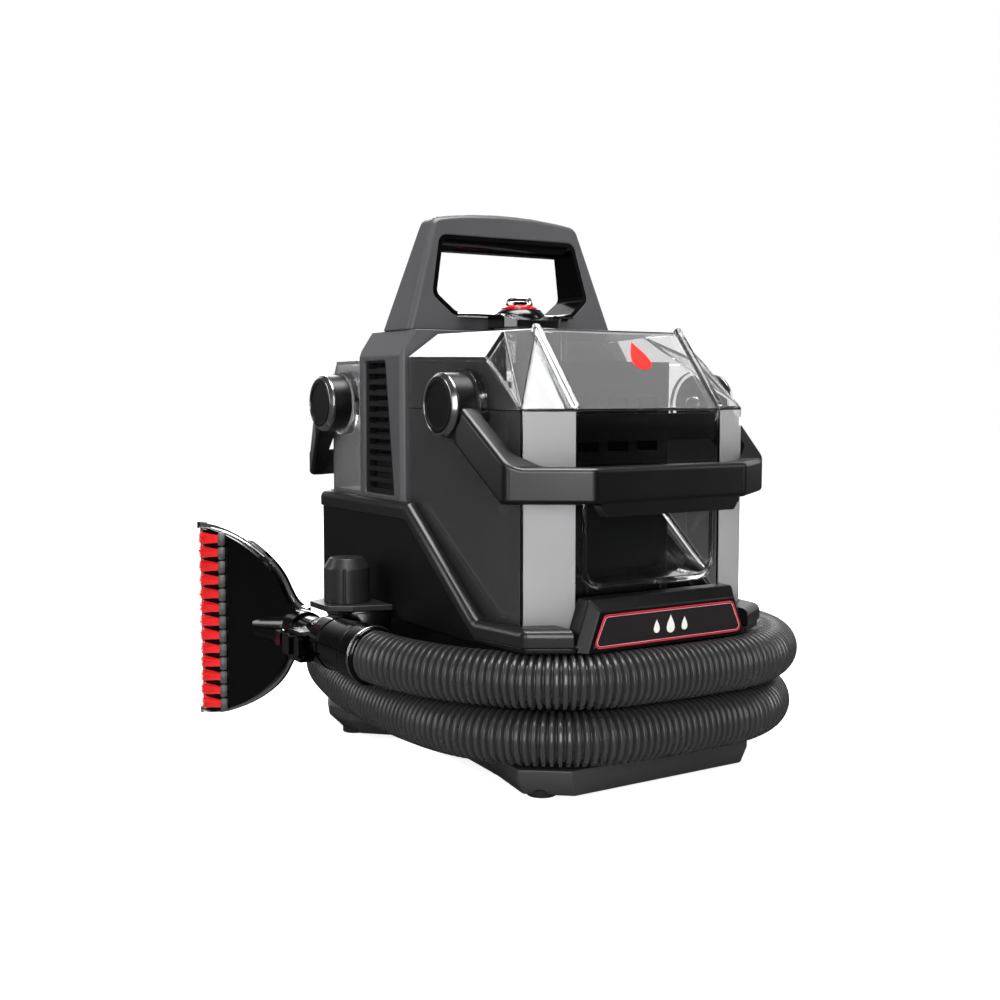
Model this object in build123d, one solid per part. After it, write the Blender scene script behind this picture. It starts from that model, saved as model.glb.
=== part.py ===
"""Portable spot extractor: a base that holds a vacuum motor and a pump, a spine with a carry handle,
two lift-off tanks with swinging bail handles, and a suction hose wound twice round the waist.

Millimetres. +Z is up, -Y is the front, and the origin is on the floor under the middle of the machine.
"""

from build123d import *
import math
import os

# ---------------------------------------------------------------- driving dimensions
PLATE_TOP = 18.0  # top of the foot plate that carries the hose
SKIRT_Z = 88.0  # lower edge of the black base casing
RIM_Z = 169.0  # top edge of the casing at the sides and rear
LIP_Z = 103.0  # top edge of the casing at the front
FLOOR_Z = 96.0  # floor that the front tank stands on
SEAM_Z = 233.0  # joint between the front tank and its lid
PORT_Z = 268.0  # axis of the air way from the front tank into the spine
LID_Z = 283.0  # top of the front lid
SPINE_Z = 268.0  # top of the spine's vertical sides
HANDLE_Z = 366.0  # top of the carry handle
DECK_Z = 300.4  # top of the black deck under the handle

SIDE_X = 101.0  # half width of the casing
TANK_X = 93.0  # half width of both tanks at the spine
SPINE_X = 98.0
SPINE_FRONT = 4.0
SPINE_REAR = 70.0
SPINE_MID = 33.0
WALL = 2.5

HOOK_Z = 138.0  # axis of the swivelling cord hook
HOOK_R = 4.0
HUB_Z = 235.0  # height of both bail axes
FRONT_HUB_Y = -74.0
REAR_HUB_Y = 101.0
HUB_R = 20.5
HUB_OUT = 115.0  # outer face of the hub caps
BOSS_OUT = 97.0  # outer face of the tank bosses
PIN_R = 6.0
RUNNING = 0.06  # radial clearance of a running fit

BUTTON_Y = 8.0
HOSE_D = 34.0
HOSE_LOW_Z = 36.0
HOSE_HIGH_Z = 70.8
WAND = (-140.0, -20.0, 74.0)  # where the hose enters the wand's cuff
TOOL = (-143.0, 62.0, 74.0)  # where the tool plugs on to the wand
TOOL_LEAN = 32.0  # degrees that the tool turns outwards from the wand

MID = (Align.CENTER, Align.CENTER, Align.MIN)


# ---------------------------------------------------------------- helpers
def outline(points, corner=0.0):
    """A polygon in a plane's own coordinates, with its corners rounded."""
    shape = Polygon(*points, align=None)
    return fillet(shape.vertices(), corner) if corner else shape


def carried(plane, sketch, length):
    """A sketch on a plane, carried along the plane's own normal."""
    return extrude(plane * sketch, amount=length, dir=plane.z_dir)


def slab(points, low, high, corner=0.0):
    """A plan outline (x, y) raised from low to high."""
    return carried(Plane.XY.offset(low), outline(points, corner), high - low)


def side_slab(points, left, right, corner=0.0):
    """A side outline (y, z) carried from x = left to x = right."""
    return carried(Plane.YZ.offset(left), outline(points, corner), right - left)


def front_slab(points, front, rear, corner=0.0):
    """A front outline (x, z) carried from y = front to y = rear."""
    plane = Plane((0, rear, 0), x_dir=(1, 0, 0), z_dir=(0, -1, 0))
    return carried(plane, outline(points, corner), rear - front)


def rod(radius, length, start, along=(0, 0, 1)):
    """A cylinder that starts at a point and runs along a direction."""
    return Plane(start, z_dir=along) * Cylinder(radius, length, align=MID)


def cone(r_start, r_end, length, start, along=(0, 0, 1)):
    return Plane(start, z_dir=along) * Cone(r_start, r_end, length, align=MID)


def ring(outer, inner, length, start, along=(0, 0, 1)):
    return rod(outer, length, start, along) - rod(inner, length, start, along)


def block(low, high):
    """A box between two corners."""
    size = [b - a for a, b in zip(low, high)]
    middle = [(a + b) / 2 for a, b in zip(low, high)]
    return Pos(*middle) * Box(*size)


def both(half):
    """The half outline (x > 0, front to rear) closed by its mirror image."""
    return half + [(-x, y) for x, y in reversed(half)]


def inset(points, gap):
    """A plan outline moved inwards by gap."""
    return offset(outline(points), amount=-gap, kind=Kind.INTERSECTION)


def raised(sketch, low, high):
    return carried(Plane.XY.offset(low), sketch, high - low)


def pair(shape):
    """The shape and its mirror image on the other side of the machine."""
    return Compound(children=[*shape.solids(), *mirror(shape, about=Plane.YZ).solids()])


def polyhedron(corners, faces):
    """A closed solid of flat faces."""
    made = [Face(Wire.make_polygon([Vector(*corners[i]) for i in f], close=True)) for f in faces]
    return Solid(Shell(made))


# ---------------------------------------------------------------- plan outlines, front to rear
FOOT_TOP = [
    (70, -158), (82, -144), (97, -112), (94, 14), (122, 40), (124, 68), (114, 92), (98, 106), (80, 142),
    (-80, 142), (-98, 106), (-114, 92), (-124, 68), (-122, 40), (-90, 12), (-90, -96), (-96, -138), (-70, -158),
]
FOOT_LOW = [
    (66, -156.5), (76, -143), (90, -112), (88, 16), (112, 42), (114, 64), (106, 86), (92, 100), (76, 136),
    (-76, 136), (-92, 100), (-106, 86), (-114, 64), (-112, 42), (-84, 14), (-84, -96), (-91, -136), (-67, -156.5),
]
WAIST = both([(50, -139), (72, -122), (84, -92), (84, 96), (44, 131)])
BASE = both([(68, -157), (94, -141), (SIDE_X, -92), (SIDE_X, 126), (72, 157)])
FRONT_TANK = both([(57, -142), (88, -129), (TANK_X, 3)])
NOTCH = [(-26, 4), (-26, -10), (-18, -18), (18, -18), (26, -10), (26, 4)]
RIB = [(-24.5, 6), (-24.5, -9.5), (-17.5, -16.5), (17.5, -16.5), (24.5, -9.5), (24.5, 6)]
REAR_TANK = both([(TANK_X, 71), (91, 128), (60, 142)])
SPINE = both([(SPINE_X, SPINE_FRONT), (SPINE_X, SPINE_REAR)])
# Side profile of the casing's top edge (y, z), from the front lip up to the rear.
PROFILE = [(-175, LIP_Z), (-97, LIP_Z), (-9, RIM_Z), (175, RIM_Z)]
RIM_H = 11.0  # height of the rounded roll along that edge


def under_profile(drop):
    """Everything below the casing's top edge, lowered by drop."""
    points = [(y, z - drop) for y, z in PROFILE]
    return side_slab([(-175, 0)] + points + [(175, 0)], -150, 150)


# ---------------------------------------------------------------- base
def foot_plate():
    low = Plane.XY.offset(FOOT_GAP) * outline(FOOT_LOW, 3)
    high = Plane.XY.offset(12.0) * outline(FOOT_TOP, 3)
    plate = loft([low.face(), high.face()], ruled=True)
    plate += slab(FOOT_TOP, 12.0, PLATE_TOP, 3)
    plate -= side_slab([(-92, 0), (-86, 10.5), (6, 10.5), (12, 0)], -130, 130)
    for x, y in FEET:
        plate -= rod(9.0, 3.0, (x, y, FOOT_GAP))
    for x, y in SCREWS:
        plate -= rod(4.2, 3.4, (x, y, FOOT_GAP))
    return plate


def foot_screws():
    """Cross-head screws that hold the foot plate to the base."""
    made = []
    for x, y in SCREWS:
        head = rod(4.0, 2.6, (x, y, FOOT_GAP + 0.8))
        head -= block((x - 2.4, y - 0.5, 0), (x + 2.4, y + 0.5, FOOT_GAP + 2.0))
        head -= block((x - 0.5, y - 2.4, 0), (x + 0.5, y + 2.4, FOOT_GAP + 2.0))
        made.append(head)
    return Compound(children=made)


FOOT_GAP = 1.6  # height of the foot plate's underside
FEET = [(-78, -137), (66, -137), (-108, 58), (108, 58), (-62, 124), (62, 124)]
SCREWS = [(-60, -100), (60, -100), (-60, 88), (60, 88)]


def rubber_feet():
    return Compound(children=[rod(9.0, 4.4, (x, y, 0)) for x, y in FEET])


def waist_shell():
    body = raised(outline(WAIST, 12), PLATE_TOP, SKIRT_Z)
    body -= rod(15.1, 50, (50, 112, 36), (1, 0, 0)) + rod(4.2, 10, (GLAND[0], GLAND[1] - 6, GLAND[2]), (0, 1, 0))
    return body - raised(fillet(inset(WAIST, 3).vertices(), 9), PLATE_TOP, SKIRT_Z)


def tank_space():
    """The well that the front tank drops into."""
    grown = offset(outline(FRONT_TANK), amount=0.8, kind=Kind.INTERSECTION)
    return raised(grown, FLOOR_Z, 400)


def base_shell():
    shell = slab(BASE, SKIRT_Z, 170, 7)
    shell &= under_profile(RIM_H)
    shell -= raised(fillet(inset(BASE, 3.5).vertices(), 4), SKIRT_Z + 3, 400) & block((-150, SPINE_FRONT - 3, 0), (150, 200, 400))
    shell -= tank_space()
    shell -= raised(fillet(inset(WAIST, 3).vertices(), 9), 0, FLOOR_Z - 4)
    shell += plate_bump()
    shell += block((-48, 143, 101), (48, 156.9, 155))
    shell -= block((-45, 146, 104), (45, 160, 152))
    shell -= spine_space()
    return shell - rod(HOOK_R + RUNNING, 6, (0, 141, HOOK_Z), (0, 1, 0))


def spine_space():
    """The slot in the casing that the spine stands in."""
    return block((-SPINE_X - 0.2, SPINE_FRONT - 0.2, 0), (SPINE_X + 0.2, SPINE_REAR + 0.2, 400))


def plate_bump():
    """The raised bed of the name plate, bevelled all round."""
    half = [(62, -162, SKIRT_Z), (53, -162, 113), (57, -155, 119.5), (68, -155, SKIRT_Z)]
    corners = half + [(-x, y, z) for x, y, z in half]
    sides = [(0, 1, 2), (0, 2, 3), (5, 4, 6), (6, 4, 7)]
    bed = polyhedron(corners, sides + [(4, 5, 1, 0), (5, 6, 2, 1), (3, 2, 6, 7), (0, 3, 7, 4)])
    return bed + front_slab([(-68, SKIRT_Z), (-57, 119.5), (57, 119.5), (68, SKIRT_Z)], -155, -144)


def base_rim():
    """The rounded roll along the casing's top edge."""
    band = raised(fillet(offset(outline(BASE), amount=1.6, kind=Kind.INTERSECTION).vertices(), 8), 60, 190)
    band &= under_profile(0)
    across = band.edges().filter_by(Axis.X).filter_by_position(Axis.Y, -150, 150)
    upright = band.edges().filter_by(Axis.Z)
    band = fillet([e for e in band.edges() if e.center().Z > 95 and e not in across + upright], 5.0)
    band -= under_profile(RIM_H)
    band -= raised(fillet(inset(BASE, 6.0).vertices(), 2), 0, 400) & block((-150, -120, 0), (150, 200, 400))
    band -= tank_space()
    band -= block((-69, -170, 0), (69, -130, 400)) + spine_space()
    return band


def rear_cover():
    """The deck that the rear tank stands on, over the motor."""
    cover = raised(fillet(inset(BASE, 6.4).vertices(), 2), RIM_Z - 5, RIM_Z - 1) & block((-150, SPINE_REAR + 0.5, 0), (150, 200, 400))
    return cover - rod(9, 20, (52, 106, RIM_Z - 10))


def name_plate():
    return front_slab([(-58.5, 91.5), (-50.5, 110.5), (50.5, 110.5), (58.5, 91.5)], -163.2, -162)


def plate_border():
    outer = front_slab([(-59.7, 90.3), (-51.2, 111.7), (51.2, 111.7), (59.7, 90.3)], -163.6, -162)
    return outer - front_slab([(-58.5, 91.5), (-50.5, 110.5), (50.5, 110.5), (58.5, 91.5)], -164, -162)


# ---------------------------------------------------------------- spine and carry handle
SHOULDER = [(-SPINE_X, 98), (-SPINE_X, SPINE_Z), (-86, 286), (86, 286), (SPINE_X, SPINE_Z), (SPINE_X, 98)]
VENT = [(15, 172), (60, 172), (59, 265), (27, 265)]  # (y, z) of the louvre panel
RIB_TOP = 288.0


def spine_housing():
    body = front_slab(SHOULDER, SPINE_FRONT, SPINE_REAR)
    body = chamfer(body.edges().filter_by(Axis.Z).filter_by_position(Axis.Z, 150, 220), 3.0)
    inner = [(-90, 90), (-90, SPINE_Z - 2), (-80, 281), (80, 281), (90, SPINE_Z - 2), (90, 90)]
    body -= front_slab(inner, SPINE_FRONT + 3, SPINE_REAR - 3)
    body -= slab([(-21.5, 8), (-21.5, 2), (21.5, 2), (21.5, 8)], 98, 284)
    body -= rod(4.4, 10, (0, BUTTON_Y, 279))
    body -= block((MOTOR[0] - 56, SPINE_REAR - 4, 96), (MOTOR[0] + 56, SPINE_REAR + 1, 150))
    body -= rod(9, 10, (MOTOR[0], SPINE_REAR - 6, 155), (0, 1, 0))
    for side in (-1, 1):
        reach = sorted((side * 90, side * 110))
        body -= side_slab(VENT, reach[0], reach[1], 2)
    return body - block((-150, SPINE_FRONT - 1, 0), (150, SPINE_REAR + 1, 100))


def spine_nose():
    """The column on the spine's front that carries the air way between the two tanks' walls."""
    nose = slab(RIB, 98, RIB_TOP) - block((-30, SPINE_FRONT, 90), (30, 10, 300))
    nose -= slab([(-21.5, 8), (-21.5, -7.5), (-16, -13), (16, -13), (21.5, -7.5), (21.5, 8)], 98, RIB_TOP - 4)
    nose -= rod(8, 30, (0, -20, PORT_Z - 8), (0, 1, 0))
    return nose - rod(4.4, 20, (0, BUTTON_Y, 279))


def vent_grille(side):
    """A louvred panel in the spine's side."""
    inner, outer = (90.3, 96.2)
    reach = sorted((side * inner, side * outer))
    grown = [(VENT[0][0] + 0.3, VENT[0][1] + 0.3), (VENT[1][0] - 0.3, VENT[1][1] + 0.3)]
    grown += [(VENT[2][0] - 0.3, VENT[2][1] - 0.3), (VENT[3][0] + 0.3, VENT[3][1] - 0.3)]
    panel = side_slab(grown, reach[0], reach[1], 1.8)
    slots = 12
    pitch = 7.6
    for i in range(slots):
        z = 178.0 + i * pitch
        front_y = 19.0 + 0.13 * (z - 172)
        cut = sorted((side * (inner + 1.4), side * (outer + 1)))
        panel -= block((cut[0], front_y, z - 2.1), (cut[1], 55.5, z + 2.1))
        if 3 <= i:
            through = sorted((side * (inner - 1), side * (outer + 1)))
            panel -= block((through[0], front_y + 3, z - 1.1), (through[1], 53.0, z + 1.5))
    return panel


def handle_sides():
    """Side view (y, z) of the carry handle, which leans in towards its top."""
    return side_slab([(12, 282), (24, 372), (42, 372), (54, 282)], -120, 120)


HOLE = [(-50, 297), (-66, 311), (-57, 353), (57, 353), (66, 311), (50, 297)]


def arch_outline():
    """Front view (x, z) of the handle: leaning sides and a crowned top with rounded corners."""
    crown = ThreePointArc((-61, HANDLE_Z - 1.2), (0, HANDLE_Z + 4.0), (61, HANDLE_Z - 1.2))
    sides = Polyline((61, HANDLE_Z - 1.2), (87, 286), (-87, 286), (-61, HANDLE_Z - 1.2))
    shape = make_face([crown, sides])
    return fillet(shape.vertices().group_by(Axis.Y)[-1], 8.5)


def carry_handle():
    plane = Plane((0, 60, 0), x_dir=(1, 0, 0), z_dir=(0, -1, 0))
    arch = carried(plane, arch_outline(), 60)
    arch &= handle_sides()
    corner = arch.edges().filter_by(lambda e: e.center().Z > 289 and abs(e.center().Y - 33) > 5)
    arch = chamfer(corner, 2.6)
    arch -= front_slab(HOLE, 0, 70, 7)
    return arch - rod(15.6, 30, (0, BUTTON_Y, 284)) - block((-47.6, 0, 295.8), (47.6, 60, 299))


def handle_liner():
    """The black soft lining of the hand hole, thick where the fingers close."""
    inner = [(-48.6, 299.6), (-63, 312), (-54.6, 350), (54.6, 350), (63, 312), (48.6, 299.6)]
    lining = front_slab(HOLE, 0, 70, 7) - front_slab(inner, 0, 70, 5.5)
    lining &= side_slab([(13.0, 290), (24.6, 372), (41.4, 372), (53.0, 290)], -120, 120)
    swell = Plane((-53, SPINE_MID, 350), z_dir=(1, 0, 0)) * Cylinder(8.2, 106, align=MID)
    swell &= block((-53, 20, 330), (53, 46, 350))
    lining -= block((-47, 0, 290), (47, 70, DECK_Z + 1))
    return lining + swell


def top_deck():
    """The black saddle under the hand hole, with a nose that carries the power button."""
    nose = slab([(-24.5, 12), (-24.5, -9.5), (-17.5, -16.5), (17.5, -16.5), (24.5, -9.5), (24.5, 12)], RIB_TOP, DECK_Z, 2)
    saddle = slab([(-47, 4.4), (-47, 52), (47, 52), (47, 4.4)], 296.4, DECK_Z, 4)
    deck = nose + saddle
    deck &= side_slab([(-20, 280), (-20, 292.4), (-16, 293.4), (-5, 297.6), (22, 298.2), (34, DECK_Z), (60, DECK_Z), (60, 280)], -60, 60)
    deck &= side_slab([(-20, 280), (-20, 400), (60, 400), (60, 297.6), (16, 296.4), (16, 280)], -60, 60)
    deck += ring(15.2, 13.0, 4.6, (0, BUTTON_Y, 297.0))
    return deck - rod(4.0 + RUNNING, 30, (0, BUTTON_Y, 275))


def power_button():
    """The red disc and its stem, sprung up from the switch."""
    lens = rod(12.6, 1.6, (0, BUTTON_Y, 301.4)) + cone(12.4, 6.0, 3.8, (0, BUTTON_Y, 303.0))
    return lens + rod(4.0, 17.2, (0, BUTTON_Y, 284.8))


def button_dome():
    """The clear cap over the red disc."""
    dome = cone(10.4, 8.6, 7.2, (0, BUTTON_Y, 303.05))
    dome = fillet(dome.edges().group_by(Axis.Z)[-1], 2.0)
    return dome - cone(12.6, 6.2, 4.0, (0, BUTTON_Y, 303.0)) - rod(6.2, 2.4, (0, BUTTON_Y, 305))


def power_switch():
    low, high = (BUTTON_Y - 4.6, BUTTON_Y + 7)
    return block((-9, max(low, 7.4), 270.4), (9, high, 280.0)) + rod(2.5, 1.4, (0, BUTTON_Y + 1.5, 280.0))


# ---------------------------------------------------------------- front tank
def tank_wall(points, low, high, notch=None):
    """An open-topped tank of the given plan."""
    outer = raised(outline(points, 2.8), low, high)
    inner = raised(fillet(inset(points, WALL).vertices(), 1.6), low + WALL, high + 1)
    if notch:
        outer -= slab(notch, low - 1, high + 2)
        around = offset(outline(notch), amount=WALL, kind=Kind.INTERSECTION)
        inner -= raised(around, low - 1, high + 2)
    return outer - inner


def front_tank_shell():
    tank = tank_wall(FRONT_TANK, FLOOR_Z + 0.4, SEAM_Z - 1, NOTCH)
    pocket = [(-50, 126), (50, 126), (50, 191), (-50, 191)]
    inner_pocket = [(-52.5, 123.5), (52.5, 123.5), (52.5, 193.5), (-52.5, 193.5)]
    tank += front_slab(inner_pocket, -141, -116, 13.5)
    tank -= front_slab(pocket, -150, -118.5, 11)
    disc = rod(23.0, BOSS_OUT - 91.5, (91.5, FRONT_HUB_Y, HUB_Z), (1, 0, 0))
    web = rod(23.0, 4.0, (88.5, FRONT_HUB_Y, HUB_Z), (1, 0, 0)) & block((80, -120, 200), (100, -20, SEAM_Z - 1))
    boss = disc + web - rod(PIN_R + RUNNING, 10, (92.0, FRONT_HUB_Y, HUB_Z), (1, 0, 0))
    return tank + boss + mirror(boss, about=Plane.YZ)


def lid_body(gap):
    """The faceted dome of the front lid; gap moves every face inwards."""
    g = gap
    half = [
        (TANK_X - g, 3 - g, SEAM_Z - 0.5), (88 - g, -129 + g, SEAM_Z - 0.5), (57 - g * 0.8, -142 + g, SEAM_Z - 0.5),
        (TANK_X - g, 3 - g, 267 - g), (88 - g, -89 + g * 0.4, 265 - g),
        (70 - g, 3 - g, LID_Z - g), (58 - g, -62, LID_Z - g), (57 - g, -99 + g * 0.8, LID_Z - g),
    ]
    n = len(half)
    corners = half + [(-x, y, z) for x, y, z in half]
    faces = [(0, 1, 4, 3), (3, 4, 6, 5), (1, 6, 4), (1, 7, 6), (1, 2, 7)]
    faces = [f for quad in faces for f in triangles(quad)]
    faces += [tuple(reversed([i + n for i in f])) for f in faces]
    faces += [(2, 2 + n, 7 + n, 7)]
    faces += [(0, 3, 5, 5 + n, 3 + n, 0 + n)]
    faces += [(5, 6, 7, 7 + n, 6 + n, 5 + n)]
    faces += [(0, 0 + n, 1 + n, 2 + n, 2, 1)]
    return polyhedron(corners, faces)


def triangles(face):
    return [face] if len(face) == 3 else [(face[0], face[1], face[2]), (face[0], face[2], face[3])]


def front_tank_lid():
    around = raised(offset(outline(NOTCH), amount=WALL, kind=Kind.INTERSECTION), 200, 320)
    lid = lid_body(0) - slab(NOTCH, 200, 320) - (lid_body(WALL) - around)
    return lid - rod(8, 30, (0, -40, PORT_Z), (0, 1, 0))


def lid_ribs():
    """Two clear rounded ribs that run up the lid's front corners."""
    foot, top = ((57, -142, SEAM_Z - 0.5), (57, -99, LID_Z))
    run = math.dist(foot, top)
    along = tuple((b - a) / run for a, b in zip(foot, top))
    bar = rod(3.0, run, foot, along) + Pos(*top) * Sphere(3.0) - block((0, -200, 200), (100, 0, SEAM_Z + 1.5))
    return pair(bar - lid_body(-0.02))


def tank_band():
    """The black frame inside the tank's front wall, under the lid."""
    band = front_slab([(-54, 213), (54, 213), (54, 230), (-54, 230)], -139.3, -134, 2)
    return band - front_slab([(-47, 217), (47, 217), (47, 226), (-47, 226)], -137, -130, 2)


def separator_tower():
    """The black stack in the tank that throws the water out of the air."""
    well = [(-44, -108), (44, -108), (48, -60), (30, -26), (-30, -26), (-48, -60)]
    body = slab(well, FLOOR_Z + 3.0, 262, 5)
    body -= slab([(-41, -105), (41, -105), (45, -61), (29, -29), (-29, -29), (-45, -61)], 103, 259, 3)
    for x in (-24, 0, 24):
        body -= block((x - 8, -120, 205), (x + 8, -100, 240))
    body -= rod(15.5, 30, (0, -60, 244))
    for x in (-30, 30):
        body -= block((x - 6, -112, 103), (x + 6, -100, 128))
    return body + rod(3.0, 158, (0, -60, 102)) + rod(9, 3, (0, -60, 102.5))


def tank_float():
    """A hollow float with a flat seat on top that shuts the air way when the tank is full."""
    return ring(17, 3.0 + RUNNING, 40, (0, -60, 105.9)) + ring(12, 3.0 + RUNNING, 8, (0, -60, 145.9))


def tank_seal():
    """The rubber ring between the tank and its lid."""
    track = offset(outline(FRONT_TANK), amount=-0.35, kind=Kind.INTERSECTION)
    gasket = raised(track, SEAM_Z - 1, SEAM_Z - 0.5)
    gasket -= raised(inset(FRONT_TANK, WALL - 0.3), SEAM_Z - 2, SEAM_Z + 2)
    gasket -= slab([(-30, 10), (-30, -22), (30, -22), (30, 10)], 200, 260)
    return gasket


def rear_tank_shell():
    tank = slab(REAR_TANK, RIM_Z - 0.6, 266, 2.8)
    space = raised(fillet(inset(REAR_TANK, WALL).vertices(), 1.6), RIM_Z - 0.6 + WALL, 266 - WALL)
    slope = side_slab([(118, 267), (124, 257), (150, 252), (150, 300), (118, 300)], -150, 150)
    inner_slope = side_slab([(116, 267), (122.5, 254), (150, 249.5), (150, 300), (116, 300)], -150, 150)
    tank = tank - slope - (space - inner_slope)
    tank += rod(20, 6, (0, 92, 262)) - rod(15, 8, (0, 92, 261))
    tank -= rod(15, 20, (0, 92, 255))
    tank += rod(8, 12, (52, 106, RIM_Z - 9))
    tank -= rod(6, 20, (52, 106, RIM_Z - 7.5))
    tank -= rod(3.0 + RUNNING, 20, (52, 106, RIM_Z - 12))
    boss = rod(23.0, BOSS_OUT - 89.8, (89.8, REAR_HUB_Y, HUB_Z), (1, 0, 0))
    boss -= rod(PIN_R + RUNNING, 10, (92, REAR_HUB_Y, HUB_Z), (1, 0, 0))
    return tank + boss + mirror(boss, about=Plane.YZ)


def fill_cap():
    cap = rod(22, 5, (0, 92, 268.4)) + rod(14.6, 12, (0, 92, 258))
    for i in range(16):
        a = math.radians(i * 22.5)
        cap -= rod(1.6, 8, (22.4 * math.cos(a), 92 + 22.4 * math.sin(a), 267))
    return fillet(cap.edges().group_by(Axis.Z)[-1].filter_by(GeomType.CIRCLE), 0.6)


def tank_valve():
    """The sprung plunger that opens when the tank is set down on the base."""
    return rod(3.0, 14, (52, 106, RIM_Z - 11.5)) + rod(5.4, 2.4, (52, 106, RIM_Z - 7.3))


def valve_cup():
    """The cup in the base that the tank's neck drops into."""
    cup = ring(12, 9.2, 14, (52, 106, RIM_Z - 19)) + rod(12, 3, (52, 106, RIM_Z - 21))
    return cup + ring(4.5, 2.5, 12, (52, 106, RIM_Z - 33)) - rod(2.5, 20, (52, 106, RIM_Z - 34))


# ---------------------------------------------------------------- bail handles
BAIL_ROUND = 3.0


def upper_outer(body, plan, ridge):
    """The edges where the bail's outer face meets its top, which follows the ridge (y, z)."""
    face = outline(plan, 8).wires()[0]
    top = Polyline(*[(0, y, z) for y, z in ridge])
    found = []
    for e in body.edges():
        at = e @ 0.5
        if face.distance_to(Vertex(at.X, at.Y, 0)) < 0.1 and top.distance_to(Vertex(0, at.Y, at.Z)) < 0.9:
            if abs((e % 0.5).Z) < 0.95:
                found.append(e)
    return found


def bail(arm, plan, hub_y):
    """A bail cut from its side outline and its plan, with a hub and a pin at each end."""
    body = side_slab(arm, -150, 150, 4.0)
    body &= slab(plan[0], 100, 400, 8) - slab(plan[1], 99, 401, 6)
    body = fillet(upper_outer(body, plan[0], arm[1:5]), BAIL_ROUND)
    side = rod(HUB_R, 12.6, (BOSS_OUT + 0.4, hub_y, HUB_Z), (1, 0, 0))
    side -= rod(16.0, 8, (HUB_OUT - 5.6, hub_y, HUB_Z), (1, 0, 0))
    side += rod(PIN_R, 6, (BOSS_OUT - 4.5, hub_y, HUB_Z), (1, 0, 0))
    body -= pair(rod(16.0, 8, (HUB_OUT - 5.6, hub_y, HUB_Z), (1, 0, 0)))
    return body + side + mirror(side, about=Plane.YZ)


def hub_rings(hub_y):
    shape = cone(HUB_R, HUB_R - 2.4, 2.4, (BOSS_OUT + 14.6, hub_y, HUB_Z), (1, 0, 0))
    shape += rod(HUB_R, 1.6, (BOSS_OUT + 13, hub_y, HUB_Z), (1, 0, 0))
    shape -= rod(17.2, 20, (BOSS_OUT, hub_y, HUB_Z), (1, 0, 0))
    return pair(shape)


def hub_caps(hub_y):
    cap = rod(15.9, 3.0, (109.4, hub_y, HUB_Z), (1, 0, 0)) + rod(17.1, 3.4, (110.0, hub_y, HUB_Z), (1, 0, 0))
    cap += cone(17.1, 16.2, 0.8, (113.4, hub_y, HUB_Z), (1, 0, 0))
    return pair(cap - rod(14.6, 2.0, (113.7, hub_y, HUB_Z), (1, 0, 0)))


FRONT_ARM = [(-64, 240), (-87, 238.5), (-95, 233), (-137, 199), (-172, 199), (-172, 177), (-128, 177), (-82, 215), (-64, 218)]
FRONT_OUTER = both([(59, -165), (103, -134), (110, -90), (110, -40)])
FRONT_INNER = both([(54, -153), (93.5, -127), (BOSS_OUT + 0.4, -102), (BOSS_OUT + 0.4, -30)])
REAR_ARM = [(93, 240), (114, 238), (121, 232), (143, 199), (172, 199), (172, 180), (138, 180), (108, 215), (93, 218)]
REAR_OUTER = both([(110, 60), (110, 118), (102, 148), (66, 165)])
REAR_INNER = both([(BOSS_OUT + 0.4, 50), (BOSS_OUT + 0.4, 126), (93, 142), (61, 154)])


def front_bail():
    body = bail(FRONT_ARM, (FRONT_OUTER, FRONT_INNER), FRONT_HUB_Y)
    lip = front_slab([(-50, 169.5), (-56, 178), (56, 178), (50, 169.5)], -164, -156, 2)
    return body + lip


def rear_bail():
    return bail(REAR_ARM, (REAR_OUTER, REAR_INNER), REAR_HUB_Y)


# ---------------------------------------------------------------- inside the base
MOTOR = (-22.0, 82.0)
PUMP = (44.0, 74.0)


def at_motor(z):
    return (MOTOR[0], MOTOR[1], z)


def motor_housing():
    """The vacuum motor's can with its fan drum on top and three feet."""
    can = rod(42, 66, at_motor(40)) - rod(39.5, 62, at_motor(44))
    drum = rod(54, 42, at_motor(104)) - rod(51, 36, at_motor(107))
    body = can + drum - rod(39.5, 70, at_motor(44)) - rod(14, 20, at_motor(140))
    body -= rod(4.0 + RUNNING, 10, at_motor(38))
    for i in range(3):
        a = math.radians(30 + 120 * i)
        foot = (MOTOR[0] + 38 * math.cos(a), MOTOR[1] + 38 * math.sin(a), 30)
        body += rod(7, 16, foot)
    body -= block((MOTOR[0] - 12, MOTOR[1] + 30, 112), (MOTOR[0] + 12, MOTOR[1] + 60, 138))
    return body


def motor_mounts():
    """Rubber buffers under the motor's feet."""
    made = []
    for i in range(3):
        a = math.radians(30 + 120 * i)
        made.append(rod(9, 12, (MOTOR[0] + 38 * math.cos(a), MOTOR[1] + 38 * math.sin(a), 18)))
    return Compound(children=made)


def motor_stator():
    core = ring(39.45, 25.5, 36, at_motor(58))
    for i in range(6):
        a = math.radians(60 * i)
        core -= rod(4.5, 40, (MOTOR[0] + 31 * math.cos(a), MOTOR[1] + 31 * math.sin(a), 56))
    return core


def motor_rotor():
    """Shaft, armature and suction fan in one spinning piece."""
    body = rod(4.0, 96, at_motor(41)) + rod(24.5, 34, at_motor(59))
    body += rod(46, 2.5, at_motor(111)) + rod(12, 22, at_motor(111))
    for i in range(9):
        blade = Pos(MOTOR[0], MOTOR[1], 113) * Rot(0, 0, i * 40) * Pos(28, 0, 8) * Rot(0, 0, 35) * Box(36, 2.0, 16)
        body += blade & ring(46, 8, 30, at_motor(105))
    return body


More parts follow.
